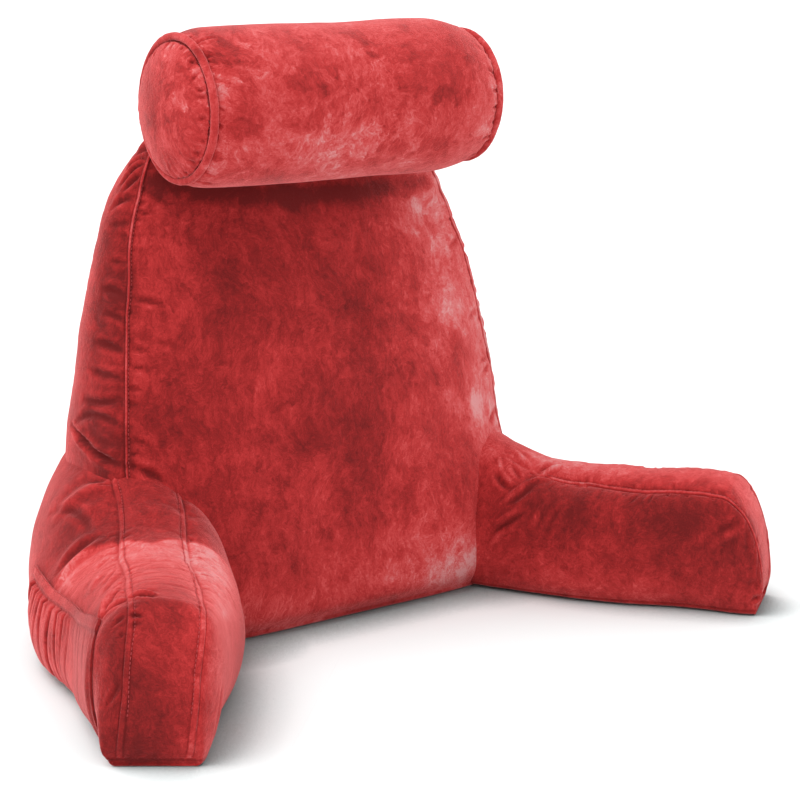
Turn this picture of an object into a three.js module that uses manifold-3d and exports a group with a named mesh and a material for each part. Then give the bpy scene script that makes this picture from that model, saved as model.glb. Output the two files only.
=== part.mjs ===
// Reading pillow: a filled backrest with two filled arms, a neck roll with corded ends and a gathered
// pocket on one arm. Millimetres, +Z up. The sitter leans against the front, which faces -Y; +X is on
// the right of a person who looks at that front. The underside of the backrest and arms is flat at Z = 0.

import * as THREE from "three";
import { mergeVertices } from "three/addons/utils/BufferGeometryUtils.js";
import Module from "manifold-3d";

// ---------------------------------------------------------------- driving dimensions

const FIT_GAP = 0.3; // clearance left wherever one piece meets the next

// Backrest, bottom to top. The front seams stand at (+-frontHalf, frontY) and the rear seams at
// (+-rearHalf, rearY); each crown is how far a panel stands out between its two seams, and fullness
// says how square the front crown is (2 is a plain arch).
const BACKREST_COLUMNS = "height frontHalf frontY rearHalf rearY frontCrown sideCrown rearCrown fullness";
const BACKREST_ROWS = table(BACKREST_COLUMNS, [
  [0, 254, 16, 244, 215, 31, 6, 10, 5],
  [30, 266, 16, 254, 226, 44, 14, 18, 5],
  [90, 271, 26, 260, 222, 52, 20, 28, 5],
  [200, 266, 50, 258, 202, 59, 26, 34, 3.6],
  [300, 255.5, 64, 247, 188, 58, 24, 36, 2.6],
  [400, 238, 85, 229, 178, 53, 22, 32, 2.4],
  [460, 224, 101, 213, 173, 46, 19, 28, 2.2],
  [500, 209, 107, 200, 170, 38, 16, 22, 2.2],
  [530, 198, 112, 180, 168, 30, 10, 16, 2.2],
  [570, 165, 122, 147, 162, 18, 5, 8, 2.2],
  [595, 110, 134, 100, 152, 6, 2, 3, 2.2],
]);

// Arm on the +X side, root to tip. A top strip runs along the arm and down its end. (x, y) is the
// middle of the strip, height that of its inner seam, rise how much higher its outer seam is, and
// heading the arm's direction in degrees from -Y towards +X. The feet are where the sides meet the
// floor, measured from the middle; each belly and shoulder pulls a side outwards low down and high up.
// crown is how far the strip bulges between its two seams.
const ARM_ROWS = table(
  "share x y height rise heading innerFoot outerFoot innerBelly outerBelly innerShoulder outerShoulder crown",
  [
    [0, 205, 175, 205, 8, 14, 70, 92, 10, 40, 30, 62, 12],
    [0.07, 222, 120, 202, 8, 14, 80, 106, 10, 42, 30, 62, 12],
    [0.15, 240, 55, 188, 4, 14, 80, 120, 12, 40, 36, 62, 12],
    [0.23, 257, 8, 164, 0, 17, 82, 120, 18, 38, 46, 62, 12],
    [0.31, 280, -35, 143, 0, 20, 82, 108, 26, 38, 56, 56, 12],
    [0.4, 303, -78, 135, 5, 22, 80, 88, 30, 40, 57, 52, 12],
    [0.54, 330, -139, 135, 10, 24, 67, 64, 28, 46, 46, 48, 12],
    [0.7, 364, -207, 142, 10, 26, 44, 53, 30, 49, 32, 42, 11],
    [0.79, 382, -243, 142, 10, 29, 38, 52, 26, 47, 20, 36, 9],
    [0.86, 394, -262, 127, 8, 33, 38, 52, 16, 38, 10, 26, 6],
    [0.92, 405, -273, 96, 5, 35, 38, 52, 8, 28, 5, 16, 6],
    [0.97, 414, -278, 45, 2, 36, 38, 50, 4, 14, 2, 6, 5],
    [1, 419, -274, 4, 0, 37, 38.5, 42, 0, 0, 0, 0, 0],
  ],
);
const STRIP_HALF = 37; // half the width of the strip
const ARM_BULGE = { belly: 0.4, shoulder: 0.93 }; // heights of a side's two pulls, as shares of its seam's
const ROOT_SHARE = 0.36; // how far along the arm its root reaches
const ROOT_SLUMP = { left: 0, right: 50 }; // how much the outer seam sags at each arm's root

// Neck roll, which lies along X. The tube's rows run from its -X end to its +X end.
const ROLL = { halfLength: 194, y: 40, height: 599 };
const ROLL_CAP = { start: 4, bulge: 22, fullness: 0.7 }; // each end's cap, outside its cord
const TUBE_ROWS = table("share radius lift", [
  [0.03, 81.5, 0],
  [0.09, 87.2, 0],
  [0.3, 88.7, 0],
  [0.5, 88.5, 0],
  [0.7, 89.8, 1.5],
  [0.85, 89, 1.5],
  [0.97, 78.5, 0],
]);
const CORD_RADIUS = 4.5;
const CORD_RING = { left: 78, right: 75 }; // radius of the ring that each end's cord follows

// Pocket on the outer side of the -X arm. Its mouth runs along the arm's outer side; down is the
// share of the way down that side, and slack how far the mouth stands off the arm.
const POCKET_MOUTH_ROWS = table("share down slack", [
  [0.15, 0.58, 0],
  [0.2, 0.545, 3.5],
  [0.28, 0.485, 4],
  [0.41, 0.415, 3],
  [0.61, 0.375, 1.5],
  [0.84, 0.25, 0],
]);
const POCKET_SETBACK = 0.08; // how much further back the front edge starts at the mouth, as a share
const POCKET_FOOT = 0.96; // the lower edge's share of the way down the arm's side
const POCKET_STANDOFF = 1.2; // between the arm and the pocket's sewn edges
const POCKET_CLOTH = 2.2;
const POCKET_BAND = 0.16; // share of the pocket's depth that its hem band takes
const POCKET_GATHER = { depth: 5, count: 6 };

// ---------------------------------------------------------------- mesh fineness

const ROW_STEPS = { backrest: 3, arm: 2, pocket: 4, tube: 2 };
const PANEL_STEPS = { front: 14, side: 6, rear: 12 };
const ARM_STEPS = { side: 9, strip: 5, floor: 5 };
const ROLL_SIDES = 32;
const CORD_SIDES = 6;
const CAP_STEPS = 5;
const POCKET_STEPS = 7;

// ---------------------------------------------------------------- tables and curves

/** Rows with named columns, as objects. */
function table(names, rows) {
  const keys = names.split(" ");
  return rows.map((row) => Object.fromEntries(row.map((value, i) => [keys[i], value])));
}

/** Slope of one column at a row, held back so that the curve never overshoots the rows. */
function slope(rows, first, key, i) {
  const rise = (k) => (rows[k + 1][key] - rows[k][key]) / (rows[k + 1][first] - rows[k][first]);
  if (i === 0) return rise(0);
  if (i === rows.length - 1) return rise(i - 1);
  const before = rise(i - 1);
  const after = rise(i);
  if (before * after <= 0) return 0;
  const stepBefore = rows[i][first] - rows[i - 1][first];
  const stepAfter = rows[i + 1][first] - rows[i][first];
  const weightBefore = 2 * stepAfter + stepBefore;
  const weightAfter = stepAfter + 2 * stepBefore;
  return (weightBefore + weightAfter) / (weightBefore / before + weightAfter / after);
}

/** Every column of a table at one value of its first column, on a smooth curve through the rows. */
function smoothRow(rows, at) {
  const keys = Object.keys(rows[0]);
  const first = keys[0];
  let i = 0;
  while (i < rows.length - 2 && at > rows[i + 1][first]) i += 1;
  const step = rows[i + 1][first] - rows[i][first];
  const u = THREE.MathUtils.clamp((at - rows[i][first]) / step, 0, 1);
  const row = { [first]: at };
  for (const key of keys.slice(1)) {
    const startSlope = slope(rows, first, key, i) * step;
    const endSlope = slope(rows, first, key, i + 1) * step;
    row[key] =
      (2 * u ** 3 - 3 * u ** 2 + 1) * rows[i][key] +
      (u ** 3 - 2 * u ** 2 + u) * startSlope +
      (3 * u ** 2 - 2 * u ** 3) * rows[i + 1][key] +
      (u ** 3 - u ** 2) * endSlope;
  }
  return row;
}

/** A table's rows with smooth rows added, so that each step between two rows becomes several. */
function refine(rows, steps) {
  const first = Object.keys(rows[0])[0];
  const finer = [];
  for (let i = 0; i < rows.length - 1; i += 1)
    for (let k = 0; k < steps; k += 1)
      finer.push(smoothRow(rows, THREE.MathUtils.lerp(rows[i][first], rows[i + 1][first], k / steps)));
  finer.push(smoothRow(rows, rows[rows.length - 1][first]));
  return finer;
}

/** Points of an arch from a towards b, without b. It stands out by crown on the right-hand side. */
function arch(a, b, crown, steps, fullness = 2.4) {
  const outward = new THREE.Vector2(b.y - a.y, a.x - b.x).normalize();
  const points = [];
  for (let i = 0; i < steps; i += 1) {
    const share = (1 - Math.cos((Math.PI * i) / steps)) / 2;
    const height = crown * (1 - Math.abs(2 * share - 1) ** fullness);
    points.push(a.clone().lerp(b, share).addScaledVector(outward, height));
  }
  return points;
}

// ---------------------------------------------------------------- solids

/** Faces that close a ring of `count` points with a fan round a point added at its middle. */
function fanCap(points, start, count) {
  const ring = points.slice(start, start + count);
  const sum = ring.reduce((total, p) => total.add(p), new THREE.Vector3());
  const middle = points.push(sum.divideScalar(count)) - 1;
  return ring.flatMap((_, i) => [start + i, start + ((i + 1) % count), middle]);
}

/** Faces that close a thin bent ring, whose second half runs back beside its first, with a ladder. */
function ladderCap(points, start, count) {
  const faces = [];
  for (let i = 0; i < count / 2 - 1; i += 1) {
    const [here, next] = [start + i, start + i + 1];
    const [across, acrossNext] = [start + count - 1 - i, start + count - 2 - i];
    faces.push(here, next, acrossNext, here, acrossNext, across);
  }
  return faces;
}

/** A closed body through rings of equal count, with a cap over its first and last ring. */
function loft(rings, cap = fanCap) {
  const count = rings[0].length;
  const points = rings.flat();
  const last = points.length - count;
  const faces = [];
  for (let here = 0; here < last; here += count)
    for (let i = 0; i < count; i += 1) {
      const next = (i + 1) % count;
      const above = here + count;
      faces.push(here + i, here + next, above + next);
      faces.push(here + i, above + next, above + i);
    }
  faces.push(...cap(points, 0, count).reverse(), ...cap(points, last, count));
  const geometry = new THREE.BufferGeometry().setFromPoints(points);
  geometry.setIndex(faces);
  return geometry;
}

const wasm = await Module();
wasm.setup();

/** The manifold-3d solid of a closed geometry. */
function solidOf(geometry) {
  const bare = new THREE.BufferGeometry().setAttribute("position", geometry.getAttribute("position"));
  bare.setIndex(geometry.index);
  const merged = mergeVertices(bare, 1e-4);
  const mesh = new wasm.Mesh({
    numProp: 3,
    vertProperties: merged.getAttribute("position").array,
    triVerts: new Uint32Array(merged.index.array),
  });
  return new wasm.Manifold(mesh);
}

/** The geometry of a manifold-3d solid. */
function geometryOf(solid) {
  const mesh = solid.getMesh();
  const geometry = new THREE.BufferGeometry();
  geometry.setAttribute("position", new THREE.BufferAttribute(mesh.vertProperties, mesh.numProp));
  geometry.setIndex(new THREE.BufferAttribute(mesh.triVerts, 1));
  return geometry;
}

/** The largest piece of one closed geometry once another is cut away from it. */
function cutAway(geometry, cutter) {
  const pieces = solidOf(geometry).subtract(solidOf(cutter)).decompose();
  pieces.sort((a, b) => b.volume() - a.volume());
  return geometryOf(pieces[0]);
}

// ---------------------------------------------------------------- backrest

/** The level ring of the backrest at one row: front panel, right side, rear panel, left side. */
function backrestRing(row, grow) {
  const frontLeft = new THREE.Vector2(-row.frontHalf - grow, row.frontY - grow);
  const frontRight = new THREE.Vector2(row.frontHalf + grow, row.frontY - grow);
  const rearRight = new THREE.Vector2(row.rearHalf + grow, row.rearY + grow);
  const rearLeft = new THREE.Vector2(-row.rearHalf - grow, row.rearY + grow);
  const outline = [
    ...arch(frontLeft, frontRight, row.frontCrown, PANEL_STEPS.front, row.fullness),
    ...arch(frontRight, rearRight, row.sideCrown, PANEL_STEPS.side),
    ...arch(rearRight, rearLeft, row.rearCrown, PANEL_STEPS.rear),
    ...arch(rearLeft, frontLeft, row.sideCrown, PANEL_STEPS.side),
  ];
  return outline.map((p) => new THREE.Vector3(p.x, p.y, row.height));
}

/** The whole filled backrest; grow makes it that much larger all round, for cutting its neighbours. */
function backrestGeometry(grow = 0) {
  const rings = refine(BACKREST_ROWS, ROW_STEPS.backrest).map((row) => backrestRing(row, grow));
  rings[0].forEach((p) => (p.z -= grow));
  rings[rings.length - 1].forEach((p) => (p.z += grow));
  return loft(rings);
}

// ---------------------------------------------------------------- arms

/** The curves of one arm section, in its own plane: x across the arm towards its outer side, y up. */
function armCurves(row, side) {
  const slump = ROOT_SLUMP[side] * Math.max(0, 1 - row.share / ROOT_SHARE);
  const outerHeight = row.height + row.rise - slump;
  const innerSeam = new THREE.Vector2(-STRIP_HALF, row.height);
  const outerSeam = new THREE.Vector2(STRIP_HALF, outerHeight);
  const innerFoot = new THREE.Vector2(-row.innerFoot, 0);
  const outerFoot = new THREE.Vector2(row.outerFoot, 0);
  const inner = new THREE.CubicBezierCurve(
    innerFoot,
    new THREE.Vector2(-row.innerFoot - row.innerBelly, ARM_BULGE.belly * row.height),
    new THREE.Vector2(-STRIP_HALF - row.innerShoulder, ARM_BULGE.shoulder * row.height),
    innerSeam,
  );
  const outer = new THREE.CubicBezierCurve(
    outerSeam,
    new THREE.Vector2(STRIP_HALF + row.outerShoulder, ARM_BULGE.shoulder * outerHeight),
    new THREE.Vector2(row.outerFoot + row.outerBelly, ARM_BULGE.belly * outerHeight),
    outerFoot,
  );
  return { inner, outer, innerSeam, outerSeam, innerFoot, outerFoot };
}

/** A section point in space, on the arm of the given side. */
function armPoint(row, side, point) {
  const heading = THREE.MathUtils.degToRad(row.heading);
  const mirror = side === "left" ? -1 : 1;
  const x = row.x + point.x * Math.cos(heading);
  const y = row.y + point.x * Math.sin(heading);
  return new THREE.Vector3(mirror * x, y, point.y);
}

/** The upright ring of an arm at one row: inner side, strip crowned upwards, outer side, floor. */
function armRing(row, side) {
  const curves = armCurves(row, side);
  const outline = [
    ...curves.inner.getPoints(ARM_STEPS.side).slice(0, -1),
    ...arch(curves.innerSeam, curves.outerSeam, -row.crown, ARM_STEPS.strip),
    ...curves.outer.getPoints(ARM_STEPS.side).slice(0, -1),
    ...arch(curves.outerFoot, curves.innerFoot, 0, ARM_STEPS.floor),
  ];
  const ring = outline.map((p) => armPoint(row, side, p));
  return side === "right" ? ring.reverse() : ring;
}

/** One filled arm, cut to sit against the backrest. */
function armGeometry(side) {
  const whole = loft(refine(ARM_ROWS, ROW_STEPS.arm).map((row) => armRing(row, side)));
  return cutAway(whole, backrestGeometry(FIT_GAP));
}

// ---------------------------------------------------------------- pocket

/** A point of the -X arm's outer side and the direction straight out of it. */
function armSide(share, down) {
  const at = (s, d) => {
    const row = smoothRow(ARM_ROWS, s);
    return armPoint(row, "left", armCurves(row, "left").outer.getPoint(d));
  };
  const step = 0.01;
  const point = at(share, down);
  const along = at(share + step, down).sub(point);
  const downwards = at(share, down + step).sub(point);
  return { point, outward: downwards.cross(along).normalize() };
}

/** How far the pocket's inner face stands off the arm: sewn down at its edges, slack at its mouth. */
function pocketStandoff(along, depth, slack) {
  const free = Math.sin(Math.PI * along);
  const belowBand = Math.max(0, (depth - POCKET_BAND) / (1 - POCKET_BAND));
  const gather = (POCKET_GATHER.depth * (1 - Math.cos(2 * Math.PI * POCKET_GATHER.count * along))) / 2;
  return POCKET_STANDOFF + slack * free * (1 - depth) + gather * Math.sin(Math.PI * belowBand);
}

/** The gathered pocket: one sheet with a hem band, closed round its edges. */
function pocketGeometry() {
  const start = POCKET_MOUTH_ROWS[0].share;
  const end = POCKET_MOUTH_ROWS[POCKET_MOUTH_ROWS.length - 1].share;
  const shares = refine(ARM_ROWS, ROW_STEPS.pocket).map((row) => row.share);
  const within = [start, ...shares.filter((share) => share > start && share < end), end];
  const rings = within.map((share) => {
    const along = (share - start) / (end - start);
    const mouth = smoothRow(POCKET_MOUTH_ROWS, share);
    const inner = [];
    const outer = [];
    for (let i = 0; i <= POCKET_STEPS; i += 1) {
      const depth = i / POCKET_STEPS;
      const setback = POCKET_SETBACK * along * (1 - depth) ** 4;
      const down = THREE.MathUtils.lerp(mouth.down, POCKET_FOOT, depth);
      const { point, outward } = armSide(share - setback, down);
      const standoff = pocketStandoff(along, depth, mouth.slack);
      inner.push(point.clone().addScaledVector(outward, standoff));
      outer.push(point.clone().addScaledVector(outward, standoff + POCKET_CLOTH));
    }
    return [...outer, ...inner.reverse()];
  });
  return loft(rings, ladderCap);
}

// ---------------------------------------------------------------- neck roll

/** The depth of the groove that holds a cord: its sides slope at 45 degrees and touch the cord. */
const GROOVE_DEPTH = (CORD_RADIUS + FIT_GAP) * Math.SQRT2;

/** The roll's outline from its -X to its +X end: each row has x, radius and lift. */
function rollOutline() {
  const { halfLength } = ROLL;
  const cap = (end, ring) => {
    const rows = [];
    for (let i = 1; i <= CAP_STEPS; i += 1) {
      const share = i / CAP_STEPS;
      const bulge = ROLL_CAP.bulge * (1 - share ** 2) ** ROLL_CAP.fullness;
      const x = end * (halfLength + ROLL_CAP.start + bulge);
      rows.push({ x, radius: (ring - CORD_RADIUS) * share, lift: 0 });
    }
    return rows;
  };
  const groove = (end, ring) => ({ x: end * halfLength, radius: ring - GROOVE_DEPTH, lift: 0 });
  const tube = refine(TUBE_ROWS, ROW_STEPS.tube).map((row) => ({
    x: THREE.MathUtils.lerp(-halfLength, halfLength, row.share),
    radius: row.radius,
    lift: row.lift,
  }));
  return [
    ...cap(-1, CORD_RING.left),
    groove(-1, CORD_RING.left),
    ...tube,
    groove(1, CORD_RING.right),
    ...cap(1, CORD_RING.right).reverse(),
  ];
}

/** Rings round X for an outline. */
function rollRings(outline) {
  return outline.map(({ x, radius, lift }) => {
    const ring = [];
    for (let i = 0; i < ROLL_SIDES; i += 1) {
      const angle = (2 * Math.PI * i) / ROLL_SIDES;
      const y = ROLL.y + radius * Math.cos(angle);
      ring.push(new THREE.Vector3(x, y, ROLL.height + lift + radius * Math.sin(angle)));
    }
    return ring;
  });
}

/** The filled neck roll. */
function rollGeometry() {
  return loft(rollRings(rollOutline()));
}

/** The roll with its cords and the fit gap added, for cutting the hollow that it lies in. */
function saddleCutter() {
  const cordTop = (row) => {
    const ring = row.x < 0 ? CORD_RING.left : CORD_RING.right;
    return Math.abs(row.x) > ROLL.halfLength - 2 * CORD_RADIUS ? ring + CORD_RADIUS : 0;
  };
  const grown = rollOutline().map((row) => {
    const radius = Math.max(row.radius, cordTop(row)) + FIT_GAP;
    return { ...row, radius };
  });
  return loft(rollRings(grown));
}

/** The cord sewn round one end of the roll. */
function cordGeometry(side) {
  const end = side === "left" ? -1 : 1;
  const geometry = new THREE.TorusGeometry(CORD_RING[side], CORD_RADIUS, CORD_SIDES, ROLL_SIDES);
  return geometry.rotateY(Math.PI / 2).translate(end * ROLL.halfLength, ROLL.y, ROLL.height);
}

// ---------------------------------------------------------------- the pillow

const velvet = { roughness: 0.9, metalness: 0 };
const COLOURS = { backrest: 0xb53a41, arm: 0xb8353c, roll: 0xc2474e, cord: 0xad333a, pocket: 0xb23b42 };

/** A named mesh in one of the velvet shades. */
function piece(name, geometry, color) {
  const mesh = new THREE.Mesh(geometry, new THREE.MeshStandardMaterial({ color, ...velvet }));
  mesh.name = name;
  return mesh;
}

const pillow = new THREE.Group();
pillow.add(
  piece("backrest", cutAway(backrestGeometry(), saddleCutter()), COLOURS.backrest),
  piece("arm_left", armGeometry("left"), COLOURS.arm),
  piece("arm_right", armGeometry("right"), COLOURS.arm),
  piece("pocket_left", pocketGeometry(), COLOURS.pocket),
  piece("neck_roll", rollGeometry(), COLOURS.roll),
  piece("cord_left", cordGeometry("left"), COLOURS.cord),
  piece("cord_right", cordGeometry("right"), COLOURS.cord),
);

// The origin is the middle of the pillow's footprint, on the floor.
const bounds = new THREE.Box3().setFromObject(pillow);
const middle = bounds.getCenter(new THREE.Vector3());
pillow.position.set(-middle.x, -middle.y, -bounds.min.z);

const part = new THREE.Group();
part.add(pillow);

export default part;
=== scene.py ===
"""Reading pillow in crushed velvet: a filled backrest with two filled arms, a neck roll with corded ends
and a gathered pocket on one arm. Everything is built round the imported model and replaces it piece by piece.

Shapes are worked out in millimetres in the maker's frame (origin at the front of the backrest's underside,
+Z up, the sitter leans on the front, which faces -Y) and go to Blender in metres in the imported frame."""

import itertools
import math

import bpy
import numpy as np
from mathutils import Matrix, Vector
from mathutils.bvhtree import BVHTree


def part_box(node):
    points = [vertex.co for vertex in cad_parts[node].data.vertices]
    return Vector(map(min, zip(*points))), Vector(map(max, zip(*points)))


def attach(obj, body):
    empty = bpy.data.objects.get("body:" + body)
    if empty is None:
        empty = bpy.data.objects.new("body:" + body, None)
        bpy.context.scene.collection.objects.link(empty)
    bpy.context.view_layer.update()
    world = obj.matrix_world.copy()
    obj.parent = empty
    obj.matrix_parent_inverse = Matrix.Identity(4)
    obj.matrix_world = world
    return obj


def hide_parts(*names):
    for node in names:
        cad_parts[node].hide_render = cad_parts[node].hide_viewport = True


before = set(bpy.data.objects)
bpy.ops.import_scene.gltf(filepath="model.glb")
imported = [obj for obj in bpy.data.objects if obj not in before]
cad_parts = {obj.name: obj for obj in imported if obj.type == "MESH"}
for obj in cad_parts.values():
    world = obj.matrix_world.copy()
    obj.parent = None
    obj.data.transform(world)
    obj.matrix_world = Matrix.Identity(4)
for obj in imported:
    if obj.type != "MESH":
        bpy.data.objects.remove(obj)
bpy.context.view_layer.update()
MM = 0.001

# ------------------------------------------------------------------ sizes, in millimetres


def rows_of(text):
    """The rows of numbers below a table's line of column names."""
    return [[float(number) for number in line.split()] for line in text.strip().splitlines()[1:]]


def table(text):
    """The columns of a table by name, each as an array."""
    names = text.strip().splitlines()[0].split()
    return dict(zip(names, np.array(rows_of(text)).T))


BACKREST = table("""
height frontHalf frontY rearHalf rearY frontCrown sideCrown rearCrown fullness
0      254       16     244      215   31         6         10        5
30     266       16     254      226   44         14        18        5
90     271       26     260      222   52         20        28        5
200    266       50     258      202   59         26        34        3.6
300    255.5     64     247      188   58         24        36        2.6
400    238       85     229      178   53         22        32        2.4
460    224       101    213      173   46         19        28        2.2
500    209       107    200      170   38         16        22        2.2
530    198       112    180      168   30         10        16        2.2
570    165       122    147      162   18         5         8         2.2
595    110       134    100      152   6          2         3         2.2
""")
SIDE_FULLNESS = 2.4
TOP = {"height": 580, "round": 16, "swell": 0.9}
TOP_ARCH = {"rise": 9, "start": 500, "over": 95, "half": 190}
# The edges that the pillow stands on are rounded.
FOOT_RADIUS = 6

ARM = table("""
share x   y    height rise heading inFoot outFoot inBelly outBelly inShoulder outShoulder crown
0     205 175  205    8    14      70     92      10      40       30         62          12
0.07  222 120  202    8    14      80     106     10      42       30         62          12
0.15  240 55   188    4    14      80     120     12      40       36         62          12
0.23  257 8    164    0    17      82     120     18      38       46         62          12
0.31  280 -35  143    0    20      82     108     26      38       56         56          12
0.4   303 -78  135    5    22      80     88      30      40       57         52          12
0.54  330 -139 135    10   24      67     64      28      46       46         48          12
0.7   364 -207 142    10   26      44     53      30      49       32         42          11
0.79  382 -243 142    10   29      38     52      26      47       20         36          9
0.86  394 -262 127    8    33      38     52      16      38       10         26          6
0.92  405 -273 96     5    35      38     52      8       28       5          16          6
0.97  414 -278 45     2    36      38     50      4       14       2          6           5
1     419 -274 4      0    37      38.5   42      0       0        0          0           0
""")
STRIP_HALF = 37
ARM_BULGE = {"belly": 0.4, "shoulder": 0.93}
# The root of an arm narrows on its outer side, where it is sewn to the backrest.
ROOT_ROUND = {"share": 0.06, "inset": 0.24}
# How much floor one whole share would cover at the pace of the last rows, round the tip.
TIP_LENGTH = 175
# The end of an arm draws back towards its foot.
TIP_UNDERCUT = {"below": 34, "depth": 9, "start": 0.93, "over": 0.06}
# The outer edge of an arm's strip slumps towards its root.
ROOT_SHARE = 0.36
ROOT_SLUMP = {"left": 0, "right": 50}

ROLL = {"half_length": 194, "y": 40, "height": 599}
# A cap's grid ends just short of the cap's middle.
ROLL_CAP = {"start": 4, "bulge": 22, "fullness": 0.7, "end": 0.99}
ROLL_GIRTH = 2 * np.pi * 88
ROLL_LENGTH = 390
TUBE = table("""
share radius lift
0     71     0
0.014 79     0
0.03  82.5   0
0.09  87.2   0
0.3   88.7   0
0.5   88.5   0
0.7   89.8   1.5
0.85  89     1.5
0.96  81.5   0.3
0.985 76.5   0
1     68     0
""")
CORD_RADIUS = 4.5
CORD_RING = {"left": 78, "right": 75}
# The noise at the roll's ends is read on a circle of this size.
NOISE_RING = 78

POCKET = table("""
share down  slack
0.15  0.58  0
0.2   0.545 3.5
0.28  0.485 4
0.41  0.415 3
0.61  0.375 1.5
0.84  0.25  0
""")
POCKET_RUN = 330
POCKET_SETBACK = 0.08
POCKET_FOOT = 0.96
POCKET_STANDOFF = 1.2
POCKET_CLOTH = 2.0
POCKET_BAND = 0.11
# The band is doubled, and its line of stitches runs along it and sinks in.
POCKET_HEM = {"thicker": 1.4, "stitched": 0.86, "sunk": 0.8}
POCKET_CLEAR = 0.6
POCKET_PLEATS = {"width": 24, "height": 6, "drift": 0.9, "gap": 0.22}
# The gathers run out where the pocket nears the arm's tip, and the cloth there hangs away from the arm.
POCKET_CALM = {"start": 0.42, "over": 0.22, "by": 0.85}
POCKET_HANG = {"by": 11, "depth": 0.8, "along": 0.66}

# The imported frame's origin lies under the middle of the footprint; the roll says how far along Y that is.
roll_low, roll_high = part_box("neck_roll")
SHIFT = np.array([0, (roll_low.y + roll_high.y) / 2 / MM - ROLL["y"], 0])

# ------------------------------------------------------------------ curves and noise


def smooth(columns, key, at):
    """One column of a table at values of its first column, on a smooth curve that never overshoots."""
    xs = next(iter(columns.values()))
    ys = columns[key]
    step = np.diff(xs)
    rise = np.diff(ys) / step
    slope = np.zeros_like(ys)
    slope[0], slope[-1] = rise[0], rise[-1]
    for i in range(1, len(xs) - 1):
        if rise[i - 1] * rise[i] > 0:
            before, after = 2 * step[i] + step[i - 1], step[i] + 2 * step[i - 1]
            slope[i] = (before + after) / (before / rise[i - 1] + after / rise[i])
    at = np.clip(at, xs[0], xs[-1])
    i = np.clip(np.searchsorted(xs, at, side="right") - 1, 0, len(xs) - 2)
    u = (at - xs[i]) / step[i]
    return (
        (2 * u**3 - 3 * u**2 + 1) * ys[i]
        + (u**3 - 2 * u**2 + u) * step[i] * slope[i]
        + (3 * u**2 - 2 * u**3) * ys[i + 1]
        + (u**3 - u**2) * step[i] * slope[i + 1]
    )


def ease(x):
    """0 below 0, 1 above 1, smooth between."""
    x = np.clip(x, 0, 1)
    return x * x * (3 - 2 * x)


def bell(x, width=1.0):
    """1 at 0, falling smoothly to almost 0 at twice the width on both sides."""
    return np.exp(-((x / width) ** 2))


def points_of(*coordinates):
    """Points from their coordinates, each an array or one number for all of them."""
    return np.stack(np.broadcast_arrays(*coordinates), -1)


# Large odd numbers that scatter whole-number places and seeds into values that look random.
SCATTER = {"place": (73856093, 19349663, 83492791), "seed": 974634777, "mix": 1274126177}


def noise3(points, seed):
    """Smooth noise between -1 and 1 at points whose last axis is x, y, z; its lumps are about 1 across."""
    base = np.floor(points).astype(np.int64)
    part = ease(points - base)
    total = np.zeros(points.shape[:-1])
    for corner in itertools.product((0, 1), repeat=3):
        x, y, z = ((base[..., k] + corner[k]) * SCATTER["place"][k] for k in range(3))
        mixed = x ^ y ^ z ^ (seed * SCATTER["seed"])
        mixed = (mixed ^ (mixed >> 13)) * SCATTER["mix"] & 0xFFFFFFFF
        mixed = (mixed ^ (mixed >> 16)) & 0xFFFF
        weight = 1.0
        for k in range(3):
            weight = weight * (part[..., k] if corner[k] else 1 - part[..., k])
        total += weight * (mixed / 0x7FFF - 1)
    return total


def lumps(points, size, seed, octaves):
    """Noise of a given lump size with finer octaves added."""
    return sum(noise3(points / size * 2**k + 17.3 * k, seed + k) / 2**k for k in range(octaves))


def unit(vectors):
    return vectors / np.maximum(np.linalg.norm(vectors, axis=-1, keepdims=True), 1e-9)


def distance_along(line):
    """How far each of a line's points lies from its first one, measured along the line."""
    return np.concatenate([[0], np.cumsum(np.linalg.norm(np.diff(line, axis=0), axis=1))])


def spread(line, fine, coarse, reach):
    """Values from 0 to 1 (without 1) along a line, in steps that grow from fine at its ends to coarse."""
    t = np.linspace(0, 1, 601)
    run = distance_along(line(t))
    from_end = np.minimum(run, run[-1] - run)
    step = fine + (coarse - fine) * ease(from_end / reach)
    count = np.concatenate([[0], np.cumsum(np.diff(run) / ((step[1:] + step[:-1]) / 2))])
    steps = max(2, round(count[-1]))
    return np.interp(np.arange(steps) / steps * count[-1], count, t)


# ------------------------------------------------------------------ the surfaces


def chord_arch(start, end, share, crown, fullness):
    """Points of an arch over each chord; it stands out by crown on the chord's right-hand side."""
    along = end - start
    outward = unit(points_of(along[..., 1], -along[..., 0]))
    height = crown * (1 - np.abs(2 * share - 1) ** fullness)
    return start + along * share[..., None] + outward * height[..., None]


def bezier(t, *ends_and_handles):
    """Points of a curve from its first end, two handles and its second end, each as (across, up)."""
    a, b, c, d = (points_of(*pair) for pair in ends_and_handles)
    t = t[..., None]
    return a * (1 - t) ** 3 + 3 * b * t * (1 - t) ** 2 + 3 * c * t * t * (1 - t) + d * t**3


def panel_of(u, panels):
    """At each u, the point of the panel out of four that it lies on."""
    return np.choose((np.floor(u).astype(int) % 4)[..., None], panels)


def above_foot(height):
    """Heights on a side, drawn up to make room for the rounded edge below it."""
    reach = 3 * FOOT_RADIUS
    return np.where(height < reach, FOOT_RADIUS + height * (1 - FOOT_RADIUS / reach), height)


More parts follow.
